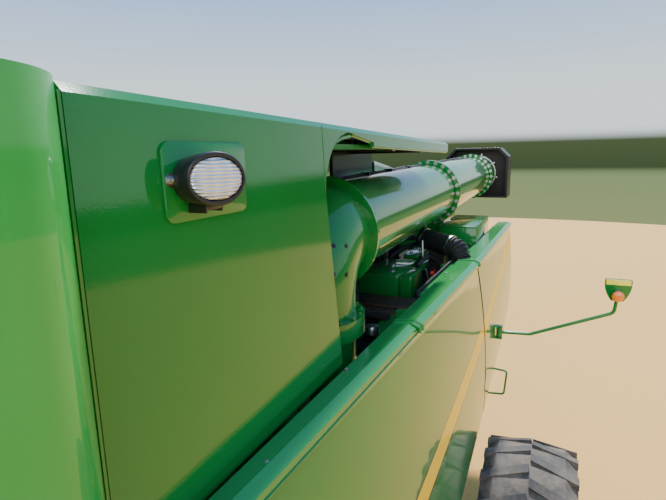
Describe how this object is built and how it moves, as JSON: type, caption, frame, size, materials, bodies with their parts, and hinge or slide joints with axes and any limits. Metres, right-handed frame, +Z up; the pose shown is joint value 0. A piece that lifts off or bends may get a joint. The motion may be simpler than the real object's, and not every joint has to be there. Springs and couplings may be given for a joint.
{
  "type": "combine harvester",
  "caption": "Large rotary combine harvester with hollow cab and grain tank, feeder house, folded unloading auger, lifting side shields, marker arms and twin front wheels.",
  "frame": {"origin": "on the ground under the centre of the overall box", "axes": "+X forward, +Y to the machine's left, +Z up"},
  "size_m": [10.3, 5.1, 3.8736],
  "materials": {
    "green_paint": "gloss",
    "yellow_paint": "gloss",
    "dark_paint": "satin",
    "rubber": "matt",
    "tyre": "matt",
    "glass": "clear",
    "bare_steel": "brushed",
    "seat_fabric": "woven",
    "lamp_housing": "gloss"
  },
  "bodies": {
    "chassis": {"main_frame": "green_paint", "front_axle": "green_paint", "rear_axle": "green_paint", "separator_body": "green_paint", "straw_hood": "green_paint", "chopper": "green_paint", "grain_tank": "green_paint", "corner_posts": "green_paint", "tank_panel_left": "green_paint", "tank_panel_right": "green_paint", "work_lamps": "lamp_housing", "shield_rail_left": "green_paint", "shield_rail_right": "green_paint", "engine_block": "dark_paint", "engine_deck": "green_paint", "cooling_housing": "green_paint", "air_pipe": "dark_paint", "fuel_tank": "dark_paint", "cab_frame": "green_paint", "cab_roof": "green_paint", "cab_glass": "glass", "operator_seat": "seat_fabric", "steering_column": "dark_paint", "platform_left": "dark_paint", "mirrors": "dark_paint", "auger_turret": "green_paint", "rear_ladder": "dark_paint"},
    "feeder": {"feeder_house": "green_paint"},
    "feeder_drum": {"feeder_drum": "bare_steel"},
    "lift_barrels": {"lift_cylinder_barrels": "dark_paint"},
    "lift_rods": {"lift_cylinder_rods": "bare_steel"},
    "unloading_auger": {"auger_elbow": "green_paint", "auger_tube": "green_paint", "auger_boot": "rubber"},
    "cab_door": {"cab_door": "dark_paint", "cab_door_glass": "glass"},
    "entry_ladder": {"entry_ladder": "dark_paint"},
    "tank_cover_left": {"tank_cover_left": "green_paint"},
    "tank_cover_right": {"tank_cover_right": "green_paint"},
    "front_shield_left": {"front_shield_left": "green_paint"},
    "front_shield_right": {"front_shield_right": "green_paint"},
    "rear_shield_left": {"rear_shield_left": "green_paint"},
    "rear_shield_right": {"rear_shield_right": "green_paint"},
    "marker_arm_left": {"marker_arm_left": "green_paint"},
    "marker_arm_right": {"marker_arm_right": "green_paint"},
    "steering_knuckle_left": {"steering_knuckle_left": "green_paint"},
    "steering_knuckle_right": {"steering_knuckle_right": "green_paint"},
    "front_wheels_left": {"front_tyres_left": "tyre", "front_rims_left": "yellow_paint"},
    "front_wheels_right": {"front_tyres_right": "tyre", "front_rims_right": "yellow_paint"},
    "rear_wheel_left": {"rear_tyre_left": "tyre", "rear_rim_left": "yellow_paint"},
    "rear_wheel_right": {"rear_tyre_right": "tyre", "rear_rim_right": "yellow_paint"},
    "spreader_left": {"spreader_disc_left": "bare_steel"},
    "spreader_right": {"spreader_disc_right": "bare_steel"},
    "cooling_screen": {"cooling_screen": "dark_paint"}
  },
  "joints": [
    {"name": "feeder_lift", "type": "hinge", "parent": "chassis", "child": "feeder", "pos_m": [3.02, 0, 1.78], "axis": [0, -1, 0], "range_deg": [-5, 25]},
    {"name": "feeder_drum_spin", "type": "hinge", "parent": "feeder", "child": "feeder_drum", "pos_m": [4.82, 0, 0.945], "axis": [0, 1, 0], "continuous": true},
    {"name": "lift_cylinder_swing", "type": "hinge", "parent": "chassis", "child": "lift_barrels", "pos_m": [2.58, 0.48, 0.82], "axis": [0, -1, 0], "range_deg": [-4, 17]},
    {"name": "lift_cylinder_extend", "type": "slide", "parent": "lift_barrels", "child": "lift_rods", "axis": [0.9986, 0, 0.0533], "range_m": [-0.09, 0.4]},
    {"name": "auger_swing", "type": "hinge", "parent": "chassis", "child": "unloading_auger", "pos_m": [0.4, 0.941, 3.2], "axis": [0, 0, -1], "range_deg": [0, 90]},
    {"name": "cab_door_swing", "type": "hinge", "parent": "chassis", "child": "cab_door", "pos_m": [2.326, 0.932, 2.8], "axis": [0, 0, 1], "range_deg": [0, 75]},
    {"name": "entry_ladder_swing", "type": "hinge", "parent": "chassis", "child": "entry_ladder", "pos_m": [3.8, 1.905, 1.2], "axis": [0, 0, -1], "range_deg": [0, 90]},
    {"name": "tank_cover_left_lift", "type": "hinge", "parent": "chassis", "child": "tank_cover_left", "pos_m": [0.5, 1.128, 3.668], "axis": [-1, 0, 0], "range_deg": [0, 80]},
    {"name": "front_shield_left_lift", "type": "hinge", "parent": "chassis", "child": "front_shield_left", "pos_m": [-1.33, 1.468, 2.7647], "axis": [0.9992, -0.0399, 0], "range_deg": [0, 75]},
    {"name": "rear_shield_left_lift", "type": "hinge", "parent": "chassis", "child": "rear_shield_left", "pos_m": [-1.33, 1.468, 2.7647], "axis": [0.9999, -0.0156, 0], "range_deg": [0, 75]},
    {"name": "marker_arm_left_fold", "type": "hinge", "parent": "rear_shield_left", "child": "marker_arm_left", "pos_m": [-2.02, 1.5787, 2.037], "axis": [0, 0, 1], "range_deg": [0, 80]},
    {"name": "front_wheels_left_spin", "type": "hinge", "parent": "chassis", "child": "front_wheels_left", "pos_m": [2.25, 1.8, 0.97], "axis": [0, 1, 0], "continuous": true},
    {"name": "steering_left", "type": "hinge", "parent": "chassis", "child": "steering_knuckle_left", "pos_m": [-1.1, 1.33, 0.75], "axis": [0, 0, 1], "range_deg": [-32, 32]},
    {"name": "rear_wheel_left_spin", "type": "hinge", "parent": "steering_knuckle_left", "child": "rear_wheel_left", "pos_m": [-1.1, 1.91, 0.75], "axis": [0, 1, 0], "continuous": true},
    {"name": "spreader_left_spin", "type": "hinge", "parent": "chassis", "child": "spreader_left", "pos_m": [-3.18, 0.48, 1.05], "axis": [0, 0, 1], "continuous": true},
    {"name": "tank_cover_right_lift", "type": "hinge", "parent": "chassis", "child": "tank_cover_right", "pos_m": [0.5, -1.128, 3.668], "axis": [1, 0, 0], "range_deg": [0, 80]},
    {"name": "front_shield_right_lift", "type": "hinge", "parent": "chassis", "child": "front_shield_right", "pos_m": [-1.33, -1.468, 2.7647], "axis": [-0.9992, -0.0399, 0], "range_deg": [0, 75]},
    {"name": "rear_shield_right_lift", "type": "hinge", "parent": "chassis", "child": "rear_shield_right", "pos_m": [-1.33, -1.468, 2.7647], "axis": [-0.9999, -0.0156, 0], "range_deg": [0, 75]},
    {"name": "marker_arm_right_fold", "type": "hinge", "parent": "rear_shield_right", "child": "marker_arm_right", "pos_m": [-2.02, -1.5787, 2.037], "axis": [0, 0, -1], "range_deg": [0, 80]},
    {"name": "front_wheels_right_spin", "type": "hinge", "parent": "chassis", "child": "front_wheels_right", "pos_m": [2.25, -1.8, 0.97], "axis": [0, 1, 0], "continuous": true},
    {"name": "steering_right", "type": "hinge", "parent": "chassis", "child": "steering_knuckle_right", "pos_m": [-1.1, -1.33, 0.75], "axis": [0, 0, 1], "range_deg": [-32, 32]},
    {"name": "rear_wheel_right_spin", "type": "hinge", "parent": "steering_knuckle_right", "child": "rear_wheel_right", "pos_m": [-1.1, -1.91, 0.75], "axis": [0, 1, 0], "continuous": true},
    {"name": "spreader_right_spin", "type": "hinge", "parent": "chassis", "child": "spreader_right", "pos_m": [-3.18, -0.48, 1.05], "axis": [0, 0, 1], "continuous": true},
    {"name": "cooling_screen_spin", "type": "hinge", "parent": "chassis", "child": "cooling_screen", "pos_m": [-1.85, -1.14, 2.815], "axis": [0, 1, 0], "continuous": true}
  ],
  "couplings": [
    {"joint": "lift_cylinder_swing", "follows": "feeder_lift", "ratio": 0.638},
    {"joint": "lift_cylinder_extend", "follows": "feeder_lift", "m_per_rad": 0.87},
    {"joint": "steering_right", "follows": "steering_left", "ratio": 1}
  ]
}
